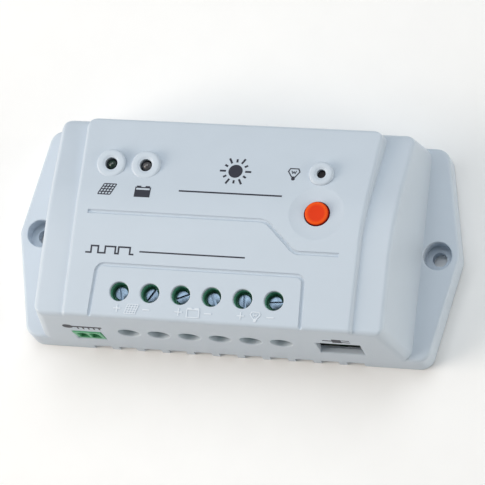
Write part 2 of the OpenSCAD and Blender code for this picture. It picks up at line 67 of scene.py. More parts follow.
LOWER_HALF = 58.5
LOWER_SLOPE = math.tan(math.radians(10.5))
UPPER_HALF = 44.6
UPPER_SLOPE = math.tan(math.radians(14))
UPPER_FOOT_HALF = UPPER_HALF + UPPER_SLOPE * (HEIGHT - EAR_HEIGHT)
UPPER_FOOT = HEIGHT - 16             # the upper tier's solid ends here, inside the lower one
LOWER_EDGE_R, LOWER_CORNER_R = 1.5, 3.4
UPPER_EDGE_R, UPPER_CORNER_R = 1.1, 1.1
BACK_CORNER_R = 3.6
TIER_STEP = 1.25
BEND_Y, BEND_R, BEND_STEPS = 2.9, 60.0, 10
UPPER_FALL, LOWER_FALL = math.radians(14.5), math.radians(18.8)

VENT_COUNT, VENT_PITCH, VENT_WIDTH, VENT_HEIGHT = 11, 8.04, 5.65, 2.8

TERMINAL_PITCH, TERMINAL_MID, TERMINAL_Y = 9.58, -3.44, -22.6
TERMINAL_XS = [TERMINAL_MID + (i - 2.5) * TERMINAL_PITCH for i in range(6)]
WIRE_Z, WIRE_R, DRIVER_R = 18.6, 3.4, 2.95
MOUTH_R = 0.35                       # rounding of the mouths of round holes
RELIEF_FRONT, RELIEF_BACK, RELIEF_LOW, RELIEF_SIDE = -28.8, -15.8, 17.0, 5.0
SLOT_ANGLES = (104, 59, 23, 118, 96, 5)
CASE_SCREW_X, CASE_SCREW_Y = 50.0, 23.5
POST_R, FRONT_POST_TOP, BACK_POST_TOP = 3.0, 28.0, 24.0
BOARD_TOP = 9.6

LAMPS = (  # name, x, window radius, ring radius, ring rise
    ("panel_lamp", -35.94, 1.95, 4.6, 0.0),
    ("battery_lamp", -24.94, 1.95, 4.6, 0.0),
    ("load_lamp", 29.9, 1.4, 3.8, 0.45),
)
LAMP_Y = 17.75
BUTTON_X, BUTTON_Y, BUTTON_HOLE_R = 30.25, 5.0, 4.0
BUTTON_R = 3.65
DISH_R, DISH_DEPTH = 8.7, 0.9

DATA_X, DATA_W, DATA_Z, DATA_H = 38.15, 13.7, 11.7, 9.8
SENSOR_X, SENSOR_W, SENSOR_H = -41.4, 9.2, 7.9
SILL_DEPTH = 1.7

GROOVES = (  # corners, and the radii that round the inner ones
    ([(-36.1, -32.5), (-35.3, -14.6), (28.7, -14.6), (29.35, -32.5)], [2.3, 2.3]),
    ([(-40.6, 1.8), (15.2, 1.75), (25.0, -7.65), (38.6, -7.6)], [5, 4]),
)


def front_y(z):
    """Where the front wall's outside is at height z."""
    return -(WIDTH / 2 - FRONT_SLOPE * z)


def back_y(z):
    """Where the back wall's outside is at height z."""
    return WIDTH / 2 - BACK_SLOPE * z


def tier_profile(flat, fall):
    """(y, z) points of a tier's top: level, bend, fall to the back wall."""
    tangent = BEND_R * math.tan(fall / 2)
    points = [(front_y(flat), flat)]
    for i in range(BEND_STEPS + 1):
        a = fall * i / BEND_STEPS
        points.append((BEND_Y - tangent + BEND_R * math.sin(a), flat - BEND_R * (1 - math.cos(a))))
    slope = math.tan(fall)
    y = (WIDTH / 2 - BACK_SLOPE * (flat + slope * BEND_Y)) / (1 - BACK_SLOPE * slope)
    points.append((y, flat - slope * (y - BEND_Y)))
    return points


def upper_surface(y):
    """Height of the upper tier's top at y."""
    tangent = BEND_R * math.tan(UPPER_FALL / 2)
    if y <= BEND_Y - tangent:
        return HEIGHT
    if y < BEND_Y + tangent * math.cos(UPPER_FALL):
        return HEIGHT - BEND_R + math.sqrt(BEND_R ** 2 - (y - BEND_Y + tangent) ** 2)
    return HEIGHT - math.tan(UPPER_FALL) * (y - BEND_Y)


# ---------------------------------------------------------------- mesh helpers


def new_object(name, bm):
    """Links the mesh as an object, with its faces turned outwards."""
    bmesh.ops.recalc_face_normals(bm, faces=bm.faces)
    mesh = bpy.data.meshes.new(name)
    bm.to_mesh(mesh)
    bm.free()
    made = bpy.data.objects.new(name, mesh)
    bpy.context.collection.objects.link(made)
    return made


def loft(name, rings):
    """Closed solid through rings of equally many points."""
    bm = bmesh.new()
    loops = [[bm.verts.new(Vector(p)) for p in ring] for ring in rings]
    n = len(loops[0])
    for low, high in zip(loops, loops[1:]):
        for k in range(n):
            bm.faces.new((low[k], low[(k + 1) % n], high[(k + 1) % n], high[k]))
    bm.faces.new(list(reversed(loops[0])))
    bm.faces.new(loops[-1])
    return new_object(name, bm)


def block(name, low, high):
    """Box between two corners, as a cutter."""
    (x0, y0, z0), (x1, y1, z1) = low, high
    return loft(name, [[(x0, y0, z), (x1, y0, z), (x1, y1, z), (x0, y1, z)] for z in (z0, z1)])


def lathe(name, profile, place, steps=64, tilt=None):
    """Closed solid of revolution from (radius, height) pairs that start and end on the axis."""
    bm = bmesh.new()
    turn = Matrix.Translation(Vector(place)) @ (tilt or Matrix.Identity(4))
    rings = []
    for r, h in profile:
        count = steps if r > 1e-6 else 1
        ring = []
        for k in range(count):
            a = 2 * math.pi * k / count
            ring.append(bm.verts.new(turn @ Vector((r * math.cos(a), r * math.sin(a), h))))
        rings.append(ring)
    for low, high in zip(rings, rings[1:]):
        for k in range(steps):
            corners = [low[k % len(low)], low[(k + 1) % len(low)],
                       high[(k + 1) % len(high)], high[k % len(high)]]
            corners = list(dict.fromkeys(corners))
            if len(corners) > 2:
                bm.faces.new(corners)
    return new_object(name, bm)


def arc(cx, cy, r, a0, a1, steps):
    """Points of an arc between two angles in degrees."""
    angles = [math.radians(a0 + (a1 - a0) * i / steps) for i in range(steps + 1)]
    return [(cx + r * math.cos(a), cy + r * math.sin(a)) for a in angles]


def bake(ob):
    """Applies the object's modifiers."""
    graph = bpy.context.evaluated_depsgraph_get()
    mesh = bpy.data.meshes.new_from_object(ob.evaluated_get(graph))
    ob.modifiers.clear()
    ob.data = mesh
    return ob


def combine(ob, others, operation):
    """Boolean of ob with each of the others, which are used up."""
    for other in others:
        step = ob.modifiers.new("combine", "BOOLEAN")
        step.object = other
        step.operation = operation
        step.solver = "MANIFOLD"
    bake(ob)
    for other in others:
        bpy.data.objects.remove(other)
    return ob


def joined(name, obs):
    """One mesh of several separate ones, which are used up."""
    bm = bmesh.new()
    for ob in obs:
        bm.from_mesh(ob.data)
        bpy.data.objects.remove(ob)
    return new_object(name, bm)


def settle(ob, name, angle=35):
    """Merges stray points, smooths what meets at less than the angle, and scales the mesh to metres."""
    bm = bmesh.new()
    bm.from_mesh(ob.data)
    bmesh.ops.triangulate(bm, faces=bm.faces)
    bmesh.ops.remove_doubles(bm, verts=bm.verts, dist=0.002)
    bmesh.ops.dissolve_degenerate(bm, edges=bm.edges, dist=0.002)
    bm.to_mesh(ob.data)
    bm.free()
    ob.data.transform(Matrix.Scale(MM, 4))
    ob.name = ob.data.name = name
    for face in ob.data.polygons:
        face.use_smooth = True
    ob.data.set_sharp_from_angle(angle=math.radians(angle))
    weigh = ob.modifiers.new("weigh", "WEIGHTED_NORMAL")
    weigh.keep_sharp = True
    weigh.weight = 90
    return ob


def bevelled_hull(name, points, width_of):
    """Convex solid through points. width_of(a, b) gives the rounding in mm of the edge from a to b."""
    widest = 4.0
    flat, crease = math.radians(0.4), math.radians(20)
    bm = bmesh.new()
    for p in points:
        bm.verts.new(Vector(p))
    bmesh.ops.convex_hull(bm, input=bm.verts)
    bmesh.ops.delete(bm, geom=[v for v in bm.verts if not v.link_faces], context="VERTS")
    bmesh.ops.dissolve_limit(bm, angle_limit=flat, verts=bm.verts, edges=bm.edges)
    weight = bm.edges.layers.float.new("bevel_weight_edge")
    for edge in bm.edges:
        if len(edge.link_faces) == 2 and edge.calc_face_angle() > crease:
            edge[weight] = width_of(*(v.co for v in edge.verts)) / widest
    made = new_object(name, bm)
    bevel = made.modifiers.new("round", "BEVEL")
    bevel.limit_method = "WEIGHT"
    bevel.width = widest
    bevel.segments = 5
    bevel.use_clamp_overlap = False
    return bake(made)


# ---------------------------------------------------------------- cover


def tier_points(half, slope, flat, fall, foot, side, seam=0.0):
    """Corners of a tier whose ends lean in above the ears from half each way, pulled in by side."""
    def ends(y, z):
        x = half - slope * max(0.0, z - EAR_HEIGHT) - side
        return [(-x, y, z), (x, y, z)]

    inset = side + seam
    (front, front_z), *middle, (back, back_z) = tier_profile(flat, fall)
    points = ends(front + inset, front_z)
    for y, z in middle:
        points += ends(y, z)
    points += ends(back - inset, back_z)
    for z in sorted({foot, max(foot, EAR_HEIGHT)}):
        points += ends(front_y(z) + inset, z) + ends(back_y(z) - inset, z)
    return points


def tier(name, half, slope, flat, fall, foot, seam, edge, corner, back_corner):
    """One tier, with the roundings of its top edges and of its front and back corners."""
    points = tier_points(half, slope, flat, fall, foot, 0, seam)

    def width_of(a, b):
        if max(a.z, b.z) < foot + 1:
            return 0
        steep = abs(a.z - b.z) > 6 and abs(a.y - b.y) < 4
        if not steep:
            return edge
        return corner if a.y < 0 else back_corner

    return bevelled_hull(name, points, width_of)


def unit(v):
    """The vector at length 1."""
    return v / v.length


def corner_arc(a, b, c, radius, steps):
    """Points of the arc that rounds the corner at b, between a and c."""
    u, v = unit(a - b), unit(c - b)
    half = math.acos(max(-1.0, min(1.0, u.dot(v)))) / 2
    start = b + u * (radius / math.tan(half))
    finish = b + v * (radius / math.tan(half))
    centre = b + unit(u + v) * (radius / math.sin(half))
    points = []
    for k in range(steps + 1):
        t = k / steps
        points.append(centre + radius * unit((start - centre) * (1 - t) + (finish - centre) * t))
    return points


def rounded_outline(corners, radii, steps):
    """Corners of a polygon in the XY plane, each replaced by an arc."""
    points = []
    n = len(corners)
    for i in range(n):
        a, b, c = (Vector(corners[k % n]) for k in (i + n - 1, i, i + 1))
        points += corner_arc(a, b, c, radii[i], steps)
    return points


def ear_ring(inset, z):
    """Outline of the ears at height z, pulled in by inset."""
    slope = math.atan(WIDTH / 2 / EAR_TIP)
    tip = LENGTH / 2 + EAR_TIP_R * (1 / math.sin(slope) - 1) - inset
    shoulder, half = LENGTH / 2 - EAR_TIP - inset, WIDTH / 2 - inset
    corners = [(tip, 0), (shoulder, half), (-shoulder, half),
               (-tip, 0), (-shoulder, -half), (shoulder, -half)]
    radii = [max(0.6, r - inset) for r in (EAR_TIP_R, EAR_CORNER_R, EAR_CORNER_R) * 2]
    lean = {True: (front_y(z) + SEAM) / front_y(0), False: (back_y(z) - SEAM) / back_y(0)}
    return [(p.x, p.y * lean[p.y < 0], z) for p in rounded_outline(corners, radii, 10)]


def ear_slab(name, side, under, edge_r, low):
    """Slab in the ears' outline pulled in by side, its top lowered by under and its edge rounded."""
    top = EAR_HEIGHT - under
    levels = arc(edge_r, top - edge_r, edge_r, 180, 90, 5) if edge_r else [(0, top)]
    return loft(name, [ear_ring(side, low)] + [ear_ring(side + inset, z) for inset, z in levels])


def disc(name, r, x, y, z0, z1, steps=48):
    """Upright cylinder."""
    return lathe(name, [(0, z0), (r, z0), (r, z1), (0, z1)], (x, y, 0), steps)


def ring_boss(x, window_r, r, rise):
    """Raised ring round a lamp: level rounded top that cones down to the window."""
    top = upper_surface(LAMP_Y - r) + rise
    foot = top - 6
    edge = 0.8
    mouth = window_r + 0.55
    bottom = top - 0.4
    profile = [(0, foot), (r, foot)] + arc(r - edge, top - edge, edge, 0, 90, 6)
    profile += [(mouth + 0.35, top), (mouth, top - 0.06), (window_r + 0.05, bottom), (0, bottom)]
    return lathe("ring_boss", profile, (x, LAMP_Y, 0), 64)


def rim_cutter(r, z, x, y, deep, fillet, steps=64):
    """Hole with a rounded mouth at height z."""
    mouth = [(r + fillet - px, z - fillet + pz) for px, pz in arc(0, 0, fillet, 0, 90, 5)]
    profile = [(0, z - deep), (r, z - deep)] + mouth + [(r + fillet, z + 3), (0, z + 3)]
    return lathe("rim_cutter", profile, (x, y, 0), steps)


def tube_along(name, path, r, steps=12):
    """Round bar along a path of points."""
    points = [Vector(p) for p in path]
    turns = [2 * math.pi * i / steps for i in range(steps)]
    rings = []
    for k, p in enumerate(points):
        along = unit(points[min(k + 1, len(points) - 1)] - points[max(k - 1, 0)])
        across = unit(along.cross(Vector((0, 0, 1))))
        up = unit(across.cross(along))
        rings.append([p + across * (r * math.cos(a)) + up * (r * math.sin(a)) for a in turns])
    return loft(name, rings)


def open_path(corners, radii, step=1.0):
    """Polyline in the XY plane with rounded corners, with a point at least every step mm."""
    corners = [Vector(c) for c in corners]
    points = [corners[0]]
    for a, b, c, radius in zip(corners, corners[1:], corners[2:], radii):
        points += corner_arc(a, b, c, radius, 6)
    points.append(corners[-1])
    fine = [points[0]]
    for a, b in zip(points, points[1:]):
        count = max(1, math.ceil((b - a).length / step))
        fine += [a + (b - a) * (k / count) for k in range(1, count + 1)]
    return fine


def groove(corners, radii):
    """Cutter for an engraved line that follows the top."""
    r, above = 0.67, 0.07
    path = [(p.x, p.y, upper_surface(p.y) + above) for p in open_path(corners, radii)]
    return tube_along("groove", path, r)


def finger_dish():
    """Cutter for the shallow bowl round the button, which keeps a round edge where the top bends."""
    steps, reach, steepness, above = 16, 1.01, 2.7, 2.0
    shares = [reach * k / steps for k in range(steps + 1)]
    bowl = [(DISH_R * t, DISH_DEPTH * (t ** steepness - 1)) for t in shares]
    dish = lathe("dish", bowl + [(bowl[-1][0], above), (0, above)], (BUTTON_X, BUTTON_Y, 0), 96)
    for v in dish.data.vertices:
        v.co.z += upper_surface(v.co.y)
    return dish


def vent_boxes(y0, y1):
    """Cutter for a row of air notches at the cover's lower edge."""
    boxes = []
    for i in range(VENT_COUNT):
        x = (i - (VENT_COUNT - 1) / 2) * VENT_PITCH
        boxes.append(block("vent", (x - VENT_WIDTH / 2, y0, -1), (x + VENT_WIDTH / 2, y1, VENT_HEIGHT)))
    return joined("vents", boxes)


def wire_cutter(x):
    """Wire entry through the front wall, with a slightly rounded mouth."""
    inner, outer = -WALL - 3, 3
    mouth = [(WIRE_R + MOUTH_R - px, -MOUTH_R + pz) for px, pz in arc(0, 0, MOUTH_R, 0, 90, 4)]
    profile = [(0, inner), (WIRE_R, inner)] + mouth + [(WIRE_R + MOUTH_R, outer), (0, outer)]
    tilt = Matrix.Rotation(math.pi / 2 - math.atan(FRONT_SLOPE), 4, "X")
    return lathe("wire_cutter", profile, (x, front_y(WIRE_Z), WIRE_Z), 48, tilt)


def window_cutter(x, w, z, h):
    """Rectangular window through the front wall with a small chamfer round its mouth."""
    chamfer = 0.3
    rings = []
    for out, grow in ((6, chamfer), (0.02, chamfer), (-chamfer, 0.0), (-WALL - 3, 0.0)):
        ring = []
        for dx, zz in ((-w / 2 - grow, z - grow), (w / 2 + grow, z - grow),
                       (w / 2 + grow, z + h + grow), (-w / 2 - grow, z + h + grow)):
            ring.append((x + dx, front_y(zz) - out, zz))
        rings.append(ring)
    return loft("window_cutter", rings)


def cover_solid():
    """Outside of the cover: two tiers, hollow ears and the raised lamp rings, joined."""
    solid = tier("lower", LOWER_HALF, LOWER_SLOPE, HEIGHT - TIER_STEP, LOWER_FALL, foot=-1.0, seam=0.0,
                 edge=LOWER_EDGE_R, corner=LOWER_CORNER_R, back_corner=BACK_CORNER_R)
    upper = tier("upper", UPPER_FOOT_HALF, UPPER_SLOPE, HEIGHT, UPPER_FALL, foot=UPPER_FOOT, seam=SEAM,
                 edge=UPPER_EDGE_R, corner=UPPER_CORNER_R, back_corner=BACK_CORNER_R)
    foot = -2                        # make_cover() cuts off what is under z = 0
    ears = ear_slab("ears", 0, 0, EAR_EDGE_R, foot)
    pocket = ear_slab("pocket", WALL, TOP_WALL, 0, foot - 1)
    boss_r = HEAD_RECESS_R + TOP_WALL
    bosses = [disc("boss", boss_r, x, 0, foot - 2, EAR_HEIGHT) for x in (-MOUNT_X, MOUNT_X)]
    inside_half = LOWER_HALF - 0.5
    middle = block("middle", (-inside_half, -WIDTH, foot - 2), (inside_half, WIDTH, EAR_HEIGHT + 1))
    combine(pocket, bosses + [middle], "DIFFERENCE")
    combine(ears, [pocket], "DIFFERENCE")
    rings = [ring_boss(x, window_r, r, rise) for _, x, window_r, r, rise in LAMPS]
    return combine(solid, [upper, ears] + rings, "UNION")


def cover_inside():
    """Solids that hollow the two tiers out."""
    lower = tier_points(LOWER_HALF, LOWER_SLOPE, HEIGHT - TIER_STEP - TOP_WALL, LOWER_FALL, -2.0, WALL)
    upper = tier_points(UPPER_FOOT_HALF, UPPER_SLOPE, HEIGHT - TOP_WALL, UPPER_FALL, UPPER_FOOT,
                        WALL + 0.05)
    return [bevelled_hull("inside", points, lambda a, b: 0) for points in (lower, upper)]


def screw_posts():
    """Posts that the case screws turn into, from the board up into the top."""
    posts = []
    for sx in (-1, 1):
        for sy, top in ((-1, FRONT_POST_TOP), (1, BACK_POST_TOP)):
            posts.append(disc("post", POST_R, sx * CASE_SCREW_X, sy * CASE_SCREW_Y, BOARD_TOP, top, 24))
    return posts


def terminal_cutters():
    """Room for the terminal block under a thinner top, the screwdriver holes and the wire holes."""
    cutters = [block("relief", (TERMINAL_XS[0] - RELIEF_SIDE, RELIEF_FRONT, RELIEF_LOW),
                     (TERMINAL_XS[-1] + RELIEF_SIDE, RELIEF_BACK, HEIGHT - THIN_TOP))]
    cutters += [rim_cutter(DRIVER_R, HEIGHT, x, TERMINAL_Y, 10, MOUTH_R) for x in TERMINAL_XS]
    cutters += [wire_cutter(x) for x in TERMINAL_XS]
    return cutters


def socket_cutters():
    """Windows of the two sockets, and the thinner wall behind the data window."""
    side, over = 0.3, 0.6
    sill_y = front_y(DATA_Z) + SILL_DEPTH
    thinned = block("thinned", (DATA_X - DATA_W / 2 - side, sill_y, DATA_Z - over),
                    (DATA_X + DATA_W / 2 + side, sill_y + WALL, DATA_Z + DATA_H + over))
    return [window_cutter(DATA_X, DATA_W, DATA_Z, DATA_H),
            window_cutter(SENSOR_X, SENSOR_W, BOARD_TOP, SENSOR_H), thinned]


def top_cutters():
    """Lamp windows, and the button's hole and dish."""
    low, high = 20, 40
    cutters = [disc("window", window_r, x, LAMP_Y, low, high) for _, x, window_r, _, _ in LAMPS]
    cutters.append(disc("button_hole", BUTTON_HOLE_R, BUTTON_X, BUTTON_Y, low, high, 64))
    cutters.append(finger_dish())
    return cutters


def mount_cutters():
    """Screw holes in the ears, each with a recess for the screw's head."""
    cutters = []
    for x in (-MOUNT_X, MOUNT_X):
        cutters.append(disc("mount_hole", MOUNT_HOLE_R, x, 0, -8, EAR_HEIGHT))
        cutters.append(rim_cutter(HEAD_RECESS_R, EAR_HEIGHT, x, 0, EAR_HEIGHT - EAR_FLOOR, MOUTH_R))
    return cutters


def make_cover():
    """The cover: joined, hollowed out, given its posts, then cut with every opening and groove."""
    cover = cover_solid()
    combine(cover, cover_inside(), "DIFFERENCE")
    combine(cover, screw_posts(), "UNION")
    cutters = [block("below", (-LENGTH, -WIDTH, -6), (LENGTH, WIDTH, 0))]
    cutters += terminal_cutters() + socket_cutters() + top_cutters() + mount_cutters()
    over = 2
    cutters.append(vent_boxes(-WIDTH / 2 - over, -WIDTH / 2 + WALL + over))
    cutters.append(vent_boxes(WIDTH / 2 - WALL - over, WIDTH / 2 + over))
    cutters += [groove(corners, radii) for corners, radii in GROOVES]
    combine(cover, cutters, "DIFFERENCE")
    return settle(cover, "top_cover_shell")


# ---------------------------------------------------------------- printed and raised marks


def on_top(u, v, off):
    """Place at (u, v) in plan, off above the top."""
    return (u, v, upper_surface(v) + off)


def on_front(u, v, off):
    """Place at x = u and height v, off in front of the front wall."""
    return (u, front_y(v) - off, v)


# A layer is the surface a mark lies on, and how deep it starts and how proud it ends.
INK = (on_top, -0.12, 0.035)
RAISED = (on_top, -0.2, 0.18)
FRONT_INK = (on_front, -0.12, 0.035)


def bar(a, b, width, layer, cuts=4):
    """Flat bar from a to b."""
    surface, low, high = layer
    a, b = Vector(a), Vector(b)
    along = unit(b - a)
    across = Vector((-along.y, along.x)) * (width / 2)
    rings = []
    for k in range(cuts + 1):
        p = a + (b - a) * (k / cuts)
        ring = []
        for q, off in ((p - across, low), (p + across, low), (p + across, high), (p - across, high)):
            ring.append(surface(q.x, q.y, off))
        rings.append(ring)
    return loft("bar", rings)


def plate(outline, layer):
    """Flat plate with that outline."""
    surface, low, high = layer
    return loft("plate", [[surface(x, y, off) for x, y in outline] for off in (low, high)])


def merged(name, parts):
    """Union of overlapping solids."""
    if len(parts) > 1:
        combine(parts[0], parts[1:], "UNION")
    return settle(parts[0], name)


def outline_bars(points, width, layer, closed=True):
    """Bars from point to point, each a little longer, so that they fill the corners."""
    ends = points[1:] + points[:1] if closed else points[1:]
    bars = []
    for a, b in zip(points, ends):
        a, b = Vector(a), Vector(b)
        extra = unit(b - a) * (width / 2)
        bars.append(bar(a - extra, b + extra, width, layer))
    return bars


def panel_mark(x, y, w, h, lean, width, layer, columns=4, rows=4):
    """Solar panel: a leaning grid."""
    def at(u, v):
        return (x + (u - 0.5) * w + (v - 0.5) * lean, y + (v - 0.5) * h)
    bars = [bar(at(0, v / rows), at(1, v / rows), width, layer) for v in range(rows + 1)]
    bars += [bar(at(u / columns, 0), at(u / columns, 1), width, layer) for u in range(columns + 1)]
    return bars


def battery_mark(x, y, w, h, width, layer, filled):
    """Battery: a box with two poles, filled or in outline."""
    def box(top):
        left, right, low, high = x - w / 2, x + w / 2, y - h / 2, y + h * top
        return [(left, low), (right, low), (right, high), (left, high)]

    pole_half, pole_width = 0.7, 0.55
    parts = outline_bars(box(0.36), width, layer)
    for s in (-1, 1):
        pole_x, pole_y = x + s * w * 0.3, y + h * 0.44
        parts.append(bar((pole_x - pole_half, pole_y), (pole_x + pole_half, pole_y), pole_width, layer))
    if filled:
        parts.append(plate(box(0.14), layer))
    return parts


def bulb_mark(x, y, w, h, width, layer):
    """Light bulb seen from the side, with its screw base below."""
    def placed(shares):
        return [(x + u * w, y + v * h) for u, v in shares]

    crown = placed([(-0.16, -0.22), (-0.5, 0.2), (-0.36, 0.44), (0.36, 0.44), (0.5, 0.2), (0.16, -0.22)])
    filament = placed([(-0.2, 0.24), (-0.1, 0.06), (0, 0.2), (0.1, 0.06), (0.2, 0.24)])
    parts = outline_bars(crown, width, layer)
    parts += outline_bars(filament, width * 0.8, layer, closed=False)
    parts.append(plate(arc(x, y - 0.36 * h, 0.17 * w, 0, 330, 11), layer))
    return parts


def thermometer_mark(x, z, layer):
    """Thermometer lying on its side, with a scale under the stem."""
    bulb_x, bulb_r = x - 4.6, 1.7
    stem_end, stem_width = x + 6.2, 1.1
    first_tick, tick_pitch, tick, tick_width = x - 1.6, 1.7, 2.1, 0.5
    parts = [plate(arc(bulb_x, z, bulb_r, 0, 330, 11), layer),
             bar((bulb_x, z), (stem_end, z), stem_width, layer)]
    for k in range(5):
        tick_x = first_tick + tick_pitch * k
        parts.append(bar((tick_x, z), (tick_x, z - tick), tick_width, layer, cuts=1))
    return parts


def plug_mark(x, z, layer):
    """Plug with its two pins and a lead."""
    half_w, half_h, lap, pin_z = 1.4, 1.5, 1.2, 0.85
    lead_end, pin_end = x - 4.3, x + 4.0
    body = [(x - half_w, z - half_h), (x + half_w, z - half_h),
            (x + half_w, z + half_h), (x - half_w, z + half_h)]
    parts = [plate(body, layer), bar((lead_end, z), (x - lap, z), 0.7, layer, cuts=1)]
    parts += [bar((x + lap, z + s * pin_z), (pin_end, z + s * pin_z), 0.6, layer, cuts=1) for s in (-1, 1)]
    return parts


def sun_mark(x, y, layer):
    """Sun: a disc with long and short rays in turn."""
    face_r, ray_start, long_end, short_end, ray_width = 2.2, 3.0, 4.9, 4.1, 0.62
    parts = [plate(arc(x, y, face_r, 0, 345, 23), layer)]
    for k in range(12):
        a = math.radians(30 * k)
        out = Vector((math.cos(a), math.sin(a)))
        reach = long_end if k % 2 == 0 else short_end
        parts.append(bar(out * ray_start + Vector((x, y)), out * reach + Vector((x, y)), ray_width, layer))
    return parts


def wave_points(x, low, high, widths):
    """Corners of a square wave that starts low at x and has steps of these widths."""
    levels = (low, high)
    points = [(x, low)]
    for k, width in enumerate(widths):
        x += width
        points += [(x, levels[k % 2]), (x, levels[(k + 1) % 2])]
    return points[:-1]


def make_ink_marks():
    """Printed pictograms and rules on the top and the front."""
    rules = [bar((-13.2, 9.9), (18.9, 9.9), 0.5, INK), bar((-22.6, -10.1), (10.2, -10.1), 0.45, INK)]
    wave = wave_points(-39.3, low=-11.1, high=-9.0, widths=(1.5, 2.2, 2.2, 3.2, 1.0, 3.6, 1.0))
    return [
        merged("ink_panel", panel_mark(-35.75, 9.3, w=3.9, h=3.5, lean=1.5, width=0.33, layer=INK)),
        merged("ink_battery", battery_mark(-24.5, 9.1, w=4.6, h=3.5, width=0.36, layer=INK, filled=True)),
        merged("ink_bulb", bulb_mark(21.3, 17.4, w=3.5, h=4.2, width=0.34, layer=INK)),
        settle(joined("sun", sun_mark(3.2, 17.4, INK)), "ink_sun"),
        settle(joined("rules", rules), "ink_rules"),
        merged("ink_wave", outline_bars(wave, 0.5, INK, closed=False)),
        merged("ink_thermometer", thermometer_mark(-41.4, 22.2, FRONT_INK)),
        merged("ink_plug", plug_mark(38.6, 24.6, FRONT_INK)),
    ]


def make_raised_marks():
    """Plus, minus and a pictogram between them, in front of each pair of terminals."""
    y, arm, plus_width, minus_width = -27.85, 1.15, 0.36, 0.4
    marks = []
    for k, kind in enumerate(("panel", "battery", "bulb")):
        left, right = TERMINAL_XS[2 * k], TERMINAL_XS[2 * k + 1]
        middle = (left + right) / 2 - 0.3
        plus = merged(f"raised_plus_{k + 1}", [
            bar((left - arm, y), (left + arm, y), plus_width, RAISED),
            bar((left, y - arm), (left, y + arm), plus_width, RAISED)])
        minus = merged(f"raised_minus_{k + 1}", [
            bar((right - 1.6, y), (right + 0.6, y), minus_width, RAISED)])
        if kind == "panel":
            parts = panel_mark(middle, y, w=3.3, h=2.9, lean=0.9, width=0.26, layer=RAISED)
        elif kind == "battery":
            parts = battery_mark(middle, y, w=3.7, h=2.8, width=0.3, layer=RAISED, filled=False)
        else:
            parts = bulb_mark(middle, y, w=3.0, h=3.2, width=0.28, layer=RAISED)
        marks += [plus, minus, merged(f"raised_{kind}", parts)]
    return marks


# ---------------------------------------------------------------- small pieces


def make_terminal_screw(i):
    """Slotted head with a rounded edge, and a threaded shank under it."""
    low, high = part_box(f"terminal_screw_{i + 1}")
    top, foot = high.z / MM, low.z / MM
    head_r, head_h, chamfer, edge_r, crown = 2.15, 2.0, 0.12, 0.3, 0.08
    shank_r, point, pitch, depth = 1.6, 0.35, 0.6, 0.12
    slot_half, slot_depth = 0.4, 0.9
    under = top - head_h
    profile = [(0, foot), (shank_r - point, foot)]
    z = foot + point
    while z < under - pitch:
        profile += [(shank_r - depth, z), (shank_r, z + pitch / 2)]
        z += pitch
    profile += [(shank_r - depth, under), (head_r - chamfer, under), (head_r, under + chamfer)]
    profile += arc(head_r - edge_r, top - crown - edge_r, edge_r, 0, 90, 4)
    profile += [(head_r / 2, top - 0.02), (0, top)]
    place = (TERMINAL_XS[i], TERMINAL_Y, 0)
    screw = lathe("screw", profile, place, 48)
    slot = block("slot", (-3, -slot_half, top - slot_depth), (3, slot_half, top + 1))
    spin = Matrix.Rotation(math.radians(SLOT_ANGLES[i]), 4, "Z")
    slot.data.transform(Matrix.Translation(place) @ spin)
    combine(screw, [slot], "DIFFERENCE")
    settle(screw, f"terminal_screw_head_{i + 1}", 40)
    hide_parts(f"terminal_screw_{i + 1}")
    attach(screw, f"screw_{i + 1}")
    return screw


def make_button():
    """Button with a rounded rim and a slightly hollow face, its flange under the top and its stem."""
    low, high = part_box("button_cap")
    top, foot = high.z / MM, low.z / MM
    r, edge, dip = BUTTON_R, 0.62, 0.12
    flange_r, flange_h, stem_r, gap = 4.75, 1.2, 2.0, 0.3
    seat = upper_surface(BUTTON_Y + flange_r) - TOP_WALL - gap
    under = seat - flange_h
    profile = [(0, foot), (stem_r, foot), (stem_r, under), (flange_r, under), (flange_r, seat), (r, seat)]
    profile += arc(r - edge, top - edge, edge, 0, 90, 7)
    profile += [(r - edge - 0.5, top - dip / 4), (r * 0.4, top - 0.1), (0, top - dip)]
    cap = settle(lathe("cap", profile, (BUTTON_X, BUTTON_Y, 0), 72), "button_face", 40)
    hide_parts("button_cap")
    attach(cap, "button")
    return cap


def light_guide(guide_r, guide_top):
    """Profile of the rod that stands on a lamp's dome, with a small bevel."""
    bevel = 0.2
    return [(guide_r, guide_top - bevel), (guide_r - bevel, guide_top), (0, guide_top)]


def make_lamp(name, x, window_r):
    """Lamp with a domed tip and a collar. A window narrower than the lamp holds a light guide."""
    low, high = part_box(name)
    top, foot = high.z / MM, low.z / MM
    r, collar, collar_h, bevel = 1.5, 0.4, 1.0, 0.1
    guide_gap, guide_drop = 0.08, 0.35
    profile = [(0, foot), (r + collar, foot), (r + collar, foot + collar_h - bevel),
               (r + collar - bevel, foot + collar_h), (r, foot + collar_h)]
    dome = arc(0, top - r, r, 0, 90, 10)
    dome[-1] = (0, top)
    if window_r < r:
        guide_r = window_r - guide_gap
        dome = [p for p in dome if p[0] > guide_r]
        dome += light_guide(guide_r, upper_surface(LAMP_Y) - guide_drop)
    lamp = settle(lathe("lamp", profile + dome, (x, LAMP_Y, 0), 48), name + "_lens", 40)
    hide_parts(name)
    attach(lamp, "root")
    return lamp


# ---------------------------------------------------------------- materials


def material(name, colour, roughness, metallic=0.0, coat=0.0, specular=0.5):
    """Principled material, given back with its node tree and its shader."""
    made = bpy.data.materials.new(name)
    made.use_nodes = True
    tree = made.node_tree
    shader = tree.nodes["Principled BSDF"]
    shader.inputs["Base Color"].default_value = (*colour, 1)
    shader.inputs["Roughness"].default_value = roughness
    shader.inputs["Metallic"].default_value = metallic
    shader.inputs["Coat Weight"].default_value = coat
    shader.inputs["Specular IOR Level"].default_value = specular
    return made, tree, shader


